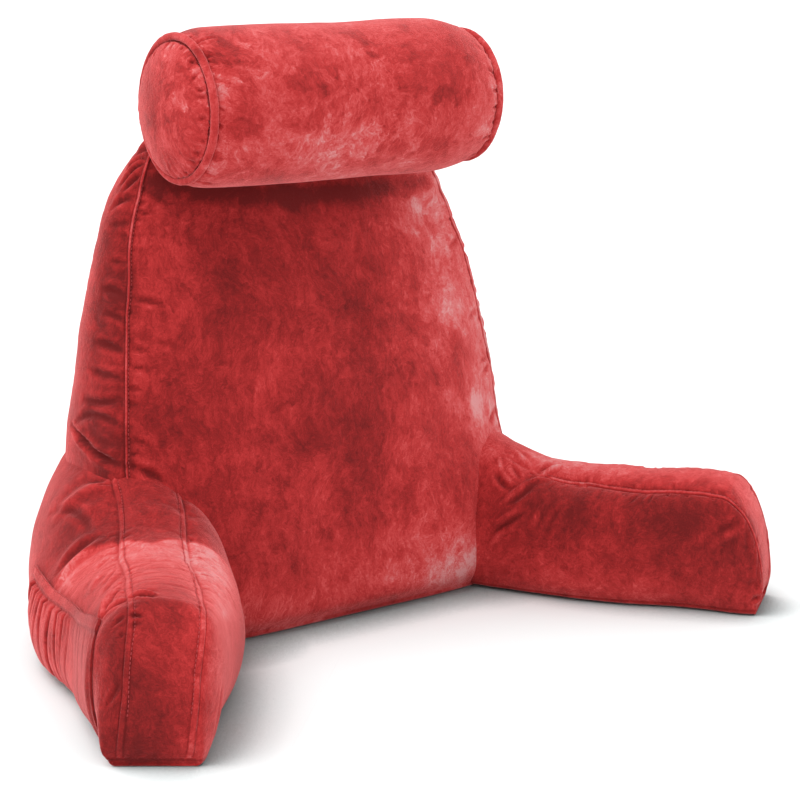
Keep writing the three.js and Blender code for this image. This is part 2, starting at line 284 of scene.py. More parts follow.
def backrest_surface(u, height):
    """The backrest's skin: u runs from 0 to 4 round its front, right, rear and left panels. Heights below 0
    lead round the edge of its underside, and heights above its top over the rounded top."""
    row = {key: smooth(BACKREST, key, height) for key in BACKREST}
    front, rear = (row["frontHalf"], row["frontY"]), (row["rearHalf"], row["rearY"])
    ends = zip((-1, 1, 1, -1), (front, front, rear, rear))
    corners = [points_of(side * half, y) for side, (half, y) in ends]
    crowns = [row["frontCrown"], row["sideCrown"], row["rearCrown"], row["sideCrown"]]
    fullness = [row["fullness"]] + 3 * [SIDE_FULLNESS]
    arches = zip(corners, corners[1:] + corners[:1], 4 * [u % 1], crowns, fullness)
    flat = panel_of(u, [chord_arch(*arch) for arch in arches])
    middle = points_of(0, (row["frontY"] + row["rearY"]) / 2)
    under = np.maximum(-height, 0) / FOOT_RADIUS
    over = np.maximum(height - TOP["height"], 0) / TOP["round"]
    inset = FOOT_RADIUS * (1 - np.cos(under)) + TOP["round"] * (1 - np.cos(over))
    flat = flat - unit(flat - middle) * inset[..., None]
    near_top = ease((height - TOP_ARCH["start"]) / TOP_ARCH["over"])
    arched = TOP_ARCH["rise"] * near_top * (1 - (flat[..., 0] / TOP_ARCH["half"]) ** 2)
    up = above_foot(np.clip(height, 0, TOP["height"])) - FOOT_RADIUS * np.sin(under)
    up = up + arched + TOP["swell"] * TOP["round"] * np.sin(over)
    return points_of(flat[..., 0], flat[..., 1], up)


def arm_surface(side):
    """An arm's skin: u runs from 0 to 4 up its inner side, over its strip, down its outer side and back
    along the floor, and share from its root to its tip."""
    mirror = -1 if side == "left" else 1
    belly, shoulder = ARM_BULGE["belly"], ARM_BULGE["shoulder"]

    def surface(u, share):
        row = {key: smooth(ARM, key, share) for key in ARM}
        slump = ROOT_SLUMP[side] * np.maximum(0, 1 - share / ROOT_SHARE)
        height, outer_height = row["height"], row["height"] + row["rise"] - slump
        from_root = np.maximum(0, 1 - share / ROOT_ROUND["share"])
        sewn_in = 1 - ROOT_ROUND["inset"] * (1 - np.sqrt(1 - from_root**2))
        foot_in, foot_out = row["inFoot"], row["outFoot"] * sewn_in
        t = u % 1
        inner = bezier(
            t,
            (-foot_in, 0),
            (-foot_in - row["inBelly"], belly * height),
            (-STRIP_HALF - row["inShoulder"], shoulder * height),
            (-STRIP_HALF, height),
        )
        outer = bezier(
            t,
            (STRIP_HALF, outer_height),
            (STRIP_HALF + row["outShoulder"], shoulder * outer_height),
            (foot_out + row["outBelly"] * sewn_in, belly * outer_height),
            (foot_out, 0),
        )
        edges = points_of(-STRIP_HALF, height), points_of(STRIP_HALF, outer_height)
        strip = chord_arch(*edges, t, -row["crown"], SIDE_FULLNESS)
        floor = chord_arch(points_of(foot_out, 0), points_of(-foot_in, 0), t, 0, SIDE_FULLNESS)
        for wall in (inner, strip, outer):
            wall[..., 1] = above_foot(wall[..., 1])
        from_edge = np.minimum(np.minimum(t, 1 - t) * (foot_in + foot_out), (1 - share) * TIP_LENGTH)
        from_edge = np.minimum(from_edge, FOOT_RADIUS)
        floor[..., 1] = FOOT_RADIUS - np.sqrt(FOOT_RADIUS**2 - (FOOT_RADIUS - from_edge) ** 2)
        section = panel_of(u, [inner, strip, outer, floor])
        near_floor = np.clip(1 - section[..., 1] / TIP_UNDERCUT["below"], 0, 1) ** 2
        near_tip = ease((share - TIP_UNDERCUT["start"]) / TIP_UNDERCUT["over"])
        back = TIP_UNDERCUT["depth"] * near_floor * near_tip
        heading = np.radians(row["heading"])
        x = row["x"] + section[..., 0] * np.cos(heading) - back * np.sin(heading)
        y = row["y"] + section[..., 0] * np.sin(heading) + back * np.cos(heading)
        return points_of(mirror * x, y, section[..., 1])

    return surface


def roll_surface(u, run):
    """The roll's skin: u is the angle round X, run goes from -1 to 0 over the left cap, from 0 to 1 along
    the tube and from 1 to 2 over the right cap."""
    half = ROLL["half_length"]
    on_cap = (run < 0) | (run > 1)
    past = np.where(run < 0, -run, run - 1)
    ring = np.where(run < 0, CORD_RING["left"], CORD_RING["right"]) - CORD_RADIUS
    share = np.clip(1 - past, 0, 1)
    bulge = ROLL_CAP["start"] + ROLL_CAP["bulge"] * (1 - share**2) ** ROLL_CAP["fullness"]
    radius = np.where(on_cap, ring * share, smooth(TUBE, "radius", run))
    lift = np.where(on_cap, 0, smooth(TUBE, "lift", run))
    tube_x = (2 * np.clip(run, 0, 1) - 1) * half
    x = np.where(on_cap, np.sign(run - 0.5) * (half + bulge), tube_x)
    return points_of(x, ROLL["y"] + radius * np.cos(u), ROLL["height"] + lift + radius * np.sin(u))


# ------------------------------------------------------------------ grids and meshes


class Skin:
    """A grid of points on a surface: each row is a closed ring, and rows follow one another along it. One
    step of v is about as long as aspect steps of u. Welts says on which side of each seam its turned edges
    lie."""

    def __init__(self, surface, columns, rows, aspect, welts=(), period=4.0, outward=1):
        self.surface, self.columns, self.rows = surface, columns, rows
        self.aspect, self.welts = aspect, dict(welts)
        self.period, self.outward = period, outward
        self.u, self.v = np.meshgrid(columns, rows)
        self.points = surface(self.u, self.v)

    def normals(self):
        around = np.roll(self.points, -1, 1) - np.roll(self.points, 1, 1)
        return unit(np.cross(around, np.gradient(self.points, axis=0))) * self.outward

    def push(self, height):
        """Moves every point along its normal."""
        self.points = self.points + self.normals() * height[..., None]

    def column(self, u):
        return int(np.argmin(np.abs(self.columns - u)))

    def seam(self, u):
        """The line of points at one value of u, as they lie now."""
        return self.points[:, self.column(u)]

    def away(self, u):
        """How far every point lies from the point of its own row at u."""
        return np.linalg.norm(self.points - self.seam(u)[:, None], axis=-1)

    def along(self, u):
        """How far along the line at u every row lies."""
        return distance_along(self.seam(u))[:, None] + np.zeros_like(self.u)


def ring_quads(index):
    """Faces between the rows of a grid of point numbers; each row is a closed ring."""
    turned = np.roll(index, -1, 1)
    return np.stack([index[:-1], turned[:-1], turned[1:], index[1:]], -1).reshape(-1, 4).tolist()


def faces_of(skin):
    """Faces of a skin, with a fan over each end round the two points that closed_points adds."""
    index = np.arange(skin.u.size).reshape(skin.u.shape)
    turned = np.roll(index, -1, 1)
    faces = ring_quads(index)
    faces += [(b, a, skin.u.size) for a, b in zip(index[0], turned[0])]
    faces += [(a, b, skin.u.size + 1) for a, b in zip(index[-1], turned[-1])]
    return faces if skin.outward > 0 else [face[::-1] for face in faces]


def closed_points(grid):
    """A grid's points or numbers with the mean of its first and last ring added."""
    ends = np.stack([grid[0].mean(0), grid[-1].mean(0)])
    return np.concatenate([grid.reshape(-1, *grid.shape[2:]), ends])


def put(name, data):
    """A new object in the scene."""
    obj = bpy.data.objects.new(name, data)
    bpy.context.scene.collection.objects.link(obj)
    return obj


def mesh_object(name, points, faces, nap_and_painted_light=None):
    """A smooth-shaded object from points in millimetres. The last argument says how far each point leans
    towards its
    pale side: the nap's own lean together with painted shade and painted highlights."""
    mesh = bpy.data.meshes.new(name)
    mesh.from_pydata(((points.reshape(-1, 3) + SHIFT) * MM).tolist(), [], faces)
    mesh.polygons.foreach_set("use_smooth", [True] * len(mesh.polygons))
    mesh.update()
    if nap_and_painted_light is not None:
        attribute = mesh.attributes.new("nap_and_painted_light", "FLOAT", "POINT")
        attribute.data.foreach_set("value", nap_and_painted_light.ravel().astype(np.float32))
    return put(name, mesh)


# ------------------------------------------------------------------ cloth

SETTLE_FRAMES = 20
CLOTH = {
    "quality": 5,
    "mass": 0.35,
    "tension_stiffness": 12,
    "compression_stiffness": 12,
    "shear_stiffness": 4,
    "bending_stiffness": 0.4,
    "use_pressure": True,
    "uniform_pressure_force": 4,
    "vertex_group_mass": "held",
    "vertex_group_shrink": "loose",
    "shrink_min": 0,
}
# How often a simulation's result is smoothed to find its broad swelling, and the share of that to keep.
SWELLING = {"smoothed": 40, "kept": 0.25}


def blurred(grid, times):
    """A grid of rings smoothed over its neighbours."""
    for _ in range(times):
        up = np.concatenate([grid[1:], grid[-1:]])
        down = np.concatenate([grid[:1], grid[:-1]])
        grid = (grid + np.roll(grid, 1, 1) + np.roll(grid, -1, 1) + up + down) / 5
    return grid


def settled(skin, held, slack):
    """Blender's cloth simulation of a filled skin. The cover is cut larger than its shape by the share
    slack and held at its seams, so the pressure of the filling throws it into soft folds. The result is how
    far every point moves, in millimetres."""
    obj = mesh_object("settling", closed_points(skin.points), faces_of(skin))
    groups = {name: obj.vertex_groups.new(name=name) for name in ("held", "loose")}
    for i, weight in enumerate([*held.ravel().tolist(), 1, 1]):
        groups["held"].add([i], weight, "REPLACE")
        groups["loose"].add([i], 1 - weight, "REPLACE")
    cloth = obj.modifiers.new("cloth", "CLOTH").settings
    for key, value in CLOTH.items():
        setattr(cloth, key, value)
    cloth.effector_weights.gravity = 0
    cloth.shrink_max = -slack
    scene = bpy.context.scene
    for number in range(1, SETTLE_FRAMES + 1):
        scene.frame_set(number)
    shaped = obj.evaluated_get(bpy.context.evaluated_depsgraph_get()).data
    places = np.empty(3 * len(shaped.vertices), np.float32)
    shaped.vertices.foreach_get("co", places)
    places = places.reshape(-1, 3)[:-2].astype(float) / MM - SHIFT
    scene.frame_set(1)
    bpy.data.objects.remove(obj)
    return places.reshape(skin.points.shape) - skin.points


def between_rows(values, at, kept_in):
    """Values at fractional row numbers, with cubic interpolation; kept_in brings numbers back in."""
    base = np.floor(at).astype(int)
    part = (at - base)[:, None, None]
    weights = [
        -0.5 * part + part**2 - 0.5 * part**3,
        1 - 2.5 * part**2 + 1.5 * part**3,
        0.5 * part + 2 * part**2 - 1.5 * part**3,
        -0.5 * part**2 + 0.5 * part**3,
    ]
    return sum(weight * values[kept_in(base + k - 1)] for k, weight in enumerate(weights))


def settle(skin, coarse, held, slack, cap):
    """Gives a skin the folds that a simulation of its coarse copy adds beyond the broad swelling, with no
    point moved further than the cap."""
    moved = settled(coarse, held, slack)
    moved = moved - (1 - SWELLING["kept"]) * blurred(moved, SWELLING["smoothed"])
    length = np.maximum(np.linalg.norm(moved, axis=-1, keepdims=True), 1e-9)
    moved = moved * np.tanh(length / cap) * cap / length
    rows, columns = len(coarse.rows), len(coarse.columns)
    once_round = np.append(coarse.columns, coarse.columns[0] + coarse.period)
    at = np.interp(skin.columns, once_round, np.arange(columns + 1))
    moved = between_rows(moved.swapaxes(0, 1), at, lambda number: number % columns).swapaxes(0, 1)
    at = np.interp(skin.rows, coarse.rows, np.arange(rows))
    skin.points += between_rows(moved, at, lambda number: np.clip(number, 0, rows - 1))


# ------------------------------------------------------------------ detail that is worked into a skin


def inside_depth(points, tree):
    """How deep every point lies under the surface of a tree, with the nearest place and its normal."""
    found = [tree.find_nearest(Vector(p)) for p in points]
    place = np.array([f[0] for f in found])
    normal = np.array([f[1] for f in found])
    return -np.einsum("ij,ij->i", points - place, normal), place, normal


def tree_of(skin):
    return BVHTree.FromPolygons(closed_points(skin.points).tolist(), faces_of(skin))


def tuck(points, tree, depth):
    """Brings points that lie inside another piece out to just under its surface."""
    flat = points.reshape(-1, 3)
    deep, place, normal = inside_depth(flat, tree)
    moved = np.where((deep > depth)[:, None], place - normal * depth, flat)
    return moved.reshape(points.shape)


def clear_of_roll(points, gap):
    """Presses points that lie inside the roll back to its surface, away from its axis."""
    out = (points - [0, ROLL["y"], ROLL["height"]]) * [0, 1, 1]
    distance = np.linalg.norm(out, axis=-1, keepdims=True)
    share = (points[..., :1] / ROLL["half_length"] + 1) / 2
    radius = smooth(TUBE, "radius", share) + gap
    beyond = ROLL["half_length"] + ROLL_CAP["start"] + ROLL_CAP["bulge"]
    pressed = points + out / np.maximum(distance, 1e-9) * (radius - distance)
    return np.where((distance < radius) & (np.abs(points[..., :1]) < beyond), pressed, points)


def across(skin, u):
    """How far every point lies from the seam at u, counted towards its welt. The seam wanders slightly."""
    turn = (skin.u - u + skin.period / 2) % skin.period - skin.period / 2
    wander = 0.9 * noise3(points_of(skin.along(u) / 24, 0, 0), 91 + u)
    return skin.away(u) * np.where(turn < 0, -1, 1) * skin.welts[u] + wander


def seam_height(skin, u, seam):
    """The valley that a seam draws between two panels, and the welt of turned edges that is stitched down
    beside it."""
    away = across(skin, u)
    valley = seam["valley"] * bell(away, seam["reach"])
    welt = seam["welt"] * ease((away + 0.8) / 1.8) * ease((seam["width"] + 1.4 - away) / 2)
    groove = seam["groove"] * bell(away + 0.8)
    topstitch = seam["topstitch"] * bell(away - seam["width"] - 1)
    return welt - valley - groove - topstitch


def seam_shade_and_highlight(skin, u, seam):
    """Painted highlight on top of a welt and painted shade along its edges."""
    away = across(skin, u)
    top = ease((away + 0.4) / 1.4) * ease((seam["width"] + 0.6 - away) / 1.6)
    return seam["pale"] * top - seam["dark"] * (0.4 * bell(away + 1.2) + bell(away - seam["width"] - 1))


def creased(field):
    """Narrow troughs along the lines where a smooth field changes sign."""
    return 0.35 - bell(field, 0.16)


def puckers(skin, u, size, reach, seed):
    """Short gathers that run away from the seam at u, elongated across it."""
    away, along = skin.away(u), skin.along(u)
    place = points_of(along / size, away / (4 * size), 3.7 * u)
    soft = noise3(place, seed) + 0.5 * noise3(place * [2.1, 1.5, 1], seed + 1)
    sharp = creased(noise3(place * [0.8, 0.7, 1], seed + 2))
    return (0.7 * soft + 1.1 * sharp) * np.exp(-away / reach) * ease((away - 1) / 4)


def distance_to(skin, line, reach):
    """Where a skin's points lie beside a line: which of them are within reach, how far off they are, and
    how far along the line, from 0 to 1."""
    low, high = line.min(0) - reach, line.max(0) + reach
    near = np.all((skin.points > low) & (skin.points < high), axis=-1)
    points = skin.points[near]
    best, at = np.full(len(points), np.inf), np.zeros(len(points))
    for i in range(len(line) - 1):
        step = line[i + 1] - line[i]
        share = np.clip((points - line[i]) @ step / max(step @ step, 1e-9), 0, 1)
        gap = np.linalg.norm(points - line[i] - share[:, None] * step, axis=-1)
        closer = gap < best
        best[closer] = gap[closer]
        at[closer] = (i + share[closer]) / (len(line) - 1)
    return near, best, at


def creases(skin, rows):
    """The height of a table of creases. Each runs from (u0, v0) to (u1, v1) on the skin, bowed sideways by
    a share of its length, with its trough deepest in the middle and a soft lip on both sides; a negative
    depth is a ridge."""
    height = np.zeros(skin.u.shape)
    t = np.linspace(0, 1, 9)
    for u0, v0, u1, v1, bow, width, depth in rows:
        du, dv = u1 - u0, v1 - v0
        curve = 4 * t * (1 - t) * bow
        u, v = u0 + du * t - dv * curve * skin.aspect, v0 + dv * t + du * curve / skin.aspect
        near, gap, at = distance_to(skin, skin.surface(u, v), 4 * width)
        thin = width * (0.7 + 0.3 * np.sin(np.pi * at))
        strength = np.sin(np.pi * np.clip(at, 0.03, 0.97)) ** 0.7
        height[near] += depth * strength * (0.4 * bell(gap / thin - 2.1) - bell(gap, thin))
    return height


def mm_between(skin, a, b):
    """The distance between two places (u, v) of a skin."""
    ends = skin.surface(np.array([a[0], b[0]]), np.array([a[1], b[1]]))
    return np.linalg.norm(ends[1] - ends[0])


GATHER = {"shortest": 0.25, "slant": 0.22, "width": (1.5, 2.6), "shallowest": 0.3, "bow": 0.04, "start": 3}


def gathers(skin, u, v, sides, count, reach, seed, deepest):
    """Rows of short crisp creases that run away from a seam, from random places along it. The seam lies at
    u and runs from v[0] to v[1], or it runs all the way round at v where v is one number."""
    random = np.random.default_rng(seed)
    rows = []
    for i in range(count):
        for side in sides:
            share = (i + random.uniform(0.1, 0.9)) / count
            length = reach * random.uniform(GATHER["shortest"], 1) ** 1.5
            slant = random.normal(0, GATHER["slant"])
            width = random.uniform(*GATHER["width"])
            depth = random.uniform(GATHER["shallowest"] * deepest, deepest)
            # Small steps away from the seam and along it, which only set directions.
            if isinstance(v, tuple):
                at = np.array([u, v[0] + (v[1] - v[0]) * share])
                ahead, beside = np.array([0.01 * side, 0]), np.array([0, 0.01 * (v[1] - v[0])])
            else:
                at = np.array([skin.period * share, v])
                ahead, beside = np.array([0, 0.06 * side]), np.array([0.01, 0])
            first = at + GATHER["start"] * ahead / mm_between(skin, at, at + ahead)
            last = at + length * ahead / mm_between(skin, at, at + ahead)
            last = last + slant * length * beside / mm_between(skin, last, last + beside)
            rows.append((*first, *last, random.normal(0, GATHER["bow"]), width, depth))
    return rows


def gathered(skin, table_of_gathers):
    return [crease for row in table_of_gathers for crease in gathers(skin, *row)]


def nap_and_painted_light_strokes(skin, rows):
    """How much the nap leans towards its pale side, in strokes brushed from (u0, v0) to (u1, v1), each
    with a width and a strength. Some of the strokes are painted shade or painted highlights."""
    nap_and_painted_light = np.zeros(skin.u.shape)
    ragged = lumps(skin.points * [1, 1, 0.45], size=26, seed=3, octaves=4)
    t = np.linspace(0, 1, 7)
    for u0, v0, u1, v1, width, strength in rows:
        line = skin.surface(u0 + (u1 - u0) * t, v0 + (v1 - v0) * t)
        near, gap, _ = distance_to(skin, line, 2.6 * width)
        nap_and_painted_light[near] += strength * bell(gap + 0.34 * width * ragged[near], width)
    return nap_and_painted_light


def relief_shade_and_highlight(height):
    """Painted shade in creases and painted highlights on ridges: darker where the relief lies below its
    smoothed height, paler where it rises above it.
    """
    relief = height - blurred(height, times=14)
    return 0.1 * np.clip(relief, -2.6, 1.8)


# ------------------------------------------------------------------ filled pieces

SEAMS = (0, 1, 2, 3)
STRIP_SEAMS = (1, 2)
SEAM_KEYS = "valley reach welt width groove topstitch pale dark".split()
# Pale and dark set a painted highlight on top of each welt and painted shade along its edges.
SEAM_LOOKS = {
    "backrest": dict(zip(SEAM_KEYS, (2.4, 9, 2.0, 2.8, 0.5, 0.9, 0.24, 0.20))),
    "left": dict(zip(SEAM_KEYS, (1.0, 7, 0.9, 5.6, 0.7, 0.7, 0.06, 0.12))),
    "right": dict(zip(SEAM_KEYS, (1.2, 7, 1.5, 2.8, 0.7, 0.7, 0.24, 0.10))),
}
# Where the inner seam of each arm comes out of the folds at its root.
SEAM_START = {"left": -1, "right": 0.33}
# How far towards its tip each arm's inner side is gathered.
GATHERED_TO = {"left": 0.72, "right": 0.92}
PUCKERS = {0: 1.8, 1: 2.0, 2: 1.6, 3: 1.1}

# Short creases beside the seams: u, v from and to, sides, how many, reach, seed and depth.
BACKREST_GATHERS = [
    (0, (30, 540), (-1,), 9, 34, 100, 1.6),
    (0, (30, 540), (1,), 24, 26, 101, 2.6),
    (1, (30, 520), (-1, 1), 14, 34, 102, 1.9),
    (2, (40, 540), (-1, 1), 16, 34, 103, 2.6),
    (3, (40, 540), (-1,), 16, 34, 104, 2.6),
    (3, (40, 540), (1,), 6, 34, 105, 1.6),
]
ARM_GATHERS = {
    side: [
        (1, (0.3, inner_end), (-1,), 16, 30, 111, 2.6),
        (1, (0.3, 0.95), (1,), 14, 14, 112, 2.6),
        (2, (0.1, 0.95), (-1, 1), 18, 22, 113, 2.6),
    ]
    for side, inner_end in GATHERED_TO.items()
}
ROLL_GATHERS = [
    (0, end, (side,), 24, 30, 121 + i, 3.6)
    for i, (end, side) in enumerate([(0, 1), (0, -1), (1, -1), (1, 1)])
]

BACKREST_CREASES = rows_of("""
u0 v0 u1 v1 bow width depth
3.60 540 3.95 548 0.05 6 6.0
3.62 524 3.99 539 0.08 3.2 5.0
3.66 509 3.99 534 0.08 3.0 4.5
3.76 500 3.99 524 0.05 2.6 3.0
3.66 484 3.99 498 0.05 3.4 4.0
3.74 466 3.99 472 0 3.0 2.0
3.82 430 3.99 428 0 3.0 2.6
3.74 398 3.995 390 0.05 4 4.2
3.80 373 3.995 364 0.05 3.2 3.0
3.70 340 3.99 331 0.05 4 4.0
3.64 309 3.985 304 0 4 3.4
3.60 276 3.97 282 -0.05 4.4 4.2
3.50 246 3.98 252 0.10 4 4.5
3.46 232 3.99 226 -0.05 4 -3.5
3.40 240 3.997 207 0 4 8.0
0.012 391 0.085 382 0 3.5 3.0
0.03 344 0.11 335 0.1 4 1.8
0.008 208 0.065 187 0.1 4.5 4.5
0.014 503 0.10 489 0 4 2.2
0.01 337 0.05 332 0 3 1.8
0.01 317 0.05 311 0 3 1.8
0.01 237 0.05 230 0 3 1.8
0.99 420 0.93 408 0 3.5 2.4
0.99 330 0.93 322 0 3.5 2.4
0.99 262 0.94 250 0 3.5 2.0
0.99 205 0.94 190 0 4 3.0
1.01 208 1.45 236 0.1 6 6.0
1.01 300 1.28 309 0 4 2.2
1.01 345 1.25 338 0 4 2.4
1.01 402 1.22 396 0 4 2.2
1.02 520 1.34 526 0.1 5 3.6
1.98 452 1.70 470 0.1 5 3.0
2.02 455 2.16 430 0.1 6 3.2
2.98 470 2.84 446 -0.1 6 3.0
2.03 250 2.20 236 0.1 6 2.6
2.97 230 2.78 244 -0.1 6 2.8
2.30 60 2.72 50 0.08 8 2.6
2.42 500 2.60 488 0.1 7 2.0
""")
ARM_CREASES = {}
ARM_CREASES["left"] = rows_of("""
u0 v0 u1 v1 bow width depth
2.00 0.165 2.36 0.135 -0.06 8 -3.4
2.14 0.13 2.01 0.165 0.05 4 2.6
2.38 0.115 2.17 0.245 0.08 5 3.4
2.42 0.262 2.12 0.262 0.05 5 4.0
2.46 0.30 2.06 0.305 0.1 6 2.0
2.04 0.60 2.28 0.735 0 3 6.0
2.10 0.66 2.26 0.750 0 3 -4.0
1.66 0.785 1.99 0.750 0 2.6 4.6
1.62 0.772 1.99 0.736 0 3 -3.0
2.00 0.757 2.26 0.745 0.03 3 5.4
1.80 0.842 1.99 0.832 0 2.2 3.6
2.10 0.42 2.28 0.50 0 6 -2.0
2.03 0.52 2.20 0.60 0 4 2.0
1.02 0.41 1.60 0.46 0.05 2.5 0.7
1.10 0.47 1.90 0.50 0.05 2.5 0.7
1.02 0.52 1.75 0.56 0.05 2.2 0.7
1.15 0.58 1.95 0.61 0.05 2.5 0.6
1.02 0.62 1.80 0.66 0.05 2.2 0.7
1.02 0.69 1.50 0.71 0.05 2.2 0.6
0.97 0.36 0.62 0.46 0 3 0.8
0.97 0.42 0.58 0.53 0 3 0.9
0.96 0.48 0.66 0.58 0 2.6 0.8
0.97 0.55 0.70 0.63 0 2.6 0.8
0.96 0.62 0.72 0.70 0 2.6 0.7
2.03 0.34 2.20 0.39 0 3 1.5
2.03 0.40 2.22 0.46 0 3 1.4
2.03 0.46 2.16 0.53 0 2.6 1.5
2.03 0.66 2.14 0.70 0 2.6 1.6
0.05 0.35 0.30 0.42 0 8 2.4
0.10 0.86 0.40 0.80 0 6 2.2
""")
ARM_CREASES["right"] = rows_of("""
u0 v0 u1 v1 bow width depth
0.58 0.274 0.86 0.312 0.05 3 -3.2
0.62 0.292 0.86 0.330 0.05 4 3.4
0.86 0.312 0.985 0.345 0 3 -2.6
0.90 0.322 1.38 0.352 0 3 -3.2
1.02 0.318 1.40 0.330 0 4 3.6
0.97 0.242 0.85 0.261 0.1 2.6 -2.6
0.85 0.261 0.80 0.298 0.1 2.6 -2.2
0.82 0.250 0.74 0.288 0.1 3.4 4.0
0.96 0.268 0.86 0.300 0 3 2.6
1.20 0.25 1.05 0.300 0 4 -2.6
0.30 0.268 0.46 0.296 0 3 -3.0
0.46 0.276 0.64 0.322 0 3 -3.0
0.40 0.274 0.60 0.330 0 3 3.0
0.50 0.35 0.76 0.372 0 4 -2.2
0.42 0.38 0.72 0.405 0 4 1.8
0.45 0.77 0.70 0.86 0 5 -2.2
0.55 0.79 0.80 0.862 0 5 2.2
0.16 0.925 0.36 0.975 0 4 3.4
0.05 0.93 0.16 0.985 0 4 3.0
0.30 0.90 0.42 0.955 0 4 2.0
2.10 0.42 2.30 0.50 0 6 2.4
2.05 0.62 2.24 0.66 0 5 2.4
""")

# Strokes of nap that leans to its pale side, or with a negative strength to its dark side. Some are painted
# light: on the backrest, the two strokes just under the roll (v 490 to 510) are its painted shadow, the two
# at the top of the left side beside the roll (u 3.6 to 4, v 520 to 556) painted shade in the hollow there,
# the three across the left side at v 300 to 400 painted shade along its folds, and the one down the front's
# right edge a painted highlight of sheen. The front is also paler along its bottom.
BACKREST_NAP_AND_PAINTED_LIGHT = rows_of("""
u0 v0 u1 v1 width strength
0.94 500 0.95 215 54 0.38
0.78 490 0.80 360 34 0.16
0.80 330 0.82 240 38 0.14
0.70 160 0.72 20 44 0.14
3.55 256 3.85 216 26 -0.24
0.76 330 0.84 200 14 0.12
0.93 190 0.84 50 46 0.20
0.82 44 0.14 32 40 0.25
0.03 510 0.42 490 13 -0.44
0.42 490 0.93 492 13 -0.44
0.20 478 0.66 470 44 -0.08
0.32 410 0.60 390 60 -0.07
0.55 350 0.52 190 30 -0.09
0.10 240 0.22 180 60 -0.05
0.12 430 0.42 200 60 -0.02
0.30 330 0.58 150 60 -0.04
3.99 393 3.70 402 8 -0.12
3.99 334 3.68 342 9 -0.12
3.99 302 3.74 308 7 -0.08
3.90 500 3.80 200 30 -0.18
3.62 556 3.96 552 14 -0.34
3.99 545 3.98 520 10 -0.16
3.95 420 3.92 250 14 -0.08
""")
# On the right arm, the stroke low on its inner side (u 0.12) is painted light bounced up from the floor, and
# the two along its top strip from the root (u 1.3 to 1.45) are a painted highlight that makes the strip
# paler.
ARM_NAP_AND_PAINTED_LIGHT = {}
ARM_NAP_AND_PAINTED_LIGHT["left"] = rows_of("""
u0 v0 u1 v1 width strength
0.80 0.36 0.62 0.86 40 0.24
0.28 0.70 0.34 0.95 34 0.18
2.3 0.28 2.4 0.6 24 -0.04
2.3 0.50 2.35 0.70 24 -0.08
2.15 0.08 2.30 0.20 26 -0.14
1.5 0.80 1.5 0.98 44 -0.22
2.1 0.82 2.2 0.98 30 -0.14
""")
ARM_NAP_AND_PAINTED_LIGHT["right"] = rows_of("""
u0 v0 u1 v1 width strength
0.78 0.36 0.80 0.86 38 -0.16
0.50 0.36 0.48 0.86 48 -0.17
0.12 0.30 0.10 0.90 20 0.08
1.30 0.20 1.40 0.36 34 0.26
0.92 0.22 0.80 0.29 24 0.18
1.50 0.82 1.50 0.97 34 0.12
1.45 0.34 1.45 0.86 30 0.22
""")
# On the roll, the stroke along its top (u 1.7) is a painted highlight of sheen.
ROLL_NAP_AND_PAINTED_LIGHT = rows_of("""
u0 v0 u1 v1 width strength
1.75 0.25 1.70 0.80 24 0.13
3.60 0.50 3.50 0.92 26 0.07
2.30 0.74 3.50 0.80 16 -0.04
1.60 0.06 3.10 0.10 16 -0.14
2.90 0.40 3.30 0.52 22 -0.07
2.00 -0.55 2.50 -0.20 14 -0.12
1.60 -0.75 4.70 -0.75 45 -0.26
""")
# The line across the left arm's top in front of which the nap is brushed forward.
NAP_EDGE = table("""
u    share
0.6  0.31
0.94 0.31
1.55 0.352
2.06 0.292
2.3  0.266
2.6  0.29
""")
NAP_FRONT = {"nap_and_painted_light": 0.32, "reach": 0.42}
NAP_BEHIND = {"nap_and_painted_light": -0.16, "reach": 0.12}
NAP_EDGE_WIDTH = 0.006


def brushed_forward(skin):
    """The nap in front of and behind the crisp line across the left arm's top."""
    beyond = skin.v - np.interp(skin.u, NAP_EDGE["u"], NAP_EDGE["share"])
    window = ease((skin.u - 0.5) / 0.3) * ease((2.6 - skin.u) / 0.25)
    front = NAP_FRONT["nap_and_painted_light"] * ease(beyond / NAP_EDGE_WIDTH)
    front = front * bell(np.maximum(beyond, 0), NAP_FRONT["reach"])
    behind = NAP_BEHIND["nap_and_painted_light"] * ease(-beyond / NAP_EDGE_WIDTH)
    behind = behind * np.exp(np.minimum(beyond, 0) / NAP_BEHIND["reach"])
    return window * (front + behind)


def dark_line_above_floor(skin):
    """A dark line round the sides just above the floor, where they start to round under."""
    return -0.24 * bell(skin.points[..., 2] - FOOT_RADIUS, 1.3)


# The spacing of each grid beside its seams and away from them: for the piece itself, and for the coarse
# copy that the cloth simulation takes.
STEPS = {"backrest": (1, 3.4), "arm": (1, 2.3), "roll": (1.2, 2.3)}
COARSE_STEPS = {"backrest": (7, 10), "arm": (6, 8.5), "roll": (5, 8)}


def panel_columns(surface, v, fine, coarse, reach):
    """Values of u round four panels, closer together beside the seams."""
    columns = []
    for panel in range(4):
        steps = spread(lambda t: surface(panel + t, np.full_like(t, v)), fine, coarse, reach)
        columns.append(panel + steps)
    return np.concatenate(columns)


def piece_rows(surface, u, low, high, fine, coarse, reach):
    """Values of v from low to high, closer together towards both ends."""
    steps = spread(lambda t: surface(np.full_like(t, u), low + (high - low) * t), fine, coarse, reach)
    return np.append(low + (high - low) * steps, high)


def backrest_skin(fine, coarse):
    columns = panel_columns(backrest_surface, 200, fine, coarse, reach=26)
    low, high = -FOOT_RADIUS * np.pi / 2, TOP["height"] + TOP["round"] * np.pi / 2
    rows = piece_rows(backrest_surface, 0.5, low, high, coarse / 2, coarse, reach=60)
    return Skin(backrest_surface, columns, rows, aspect=1 / 250, welts={0: 1, 1: -1, 2: 1, 3: -1})


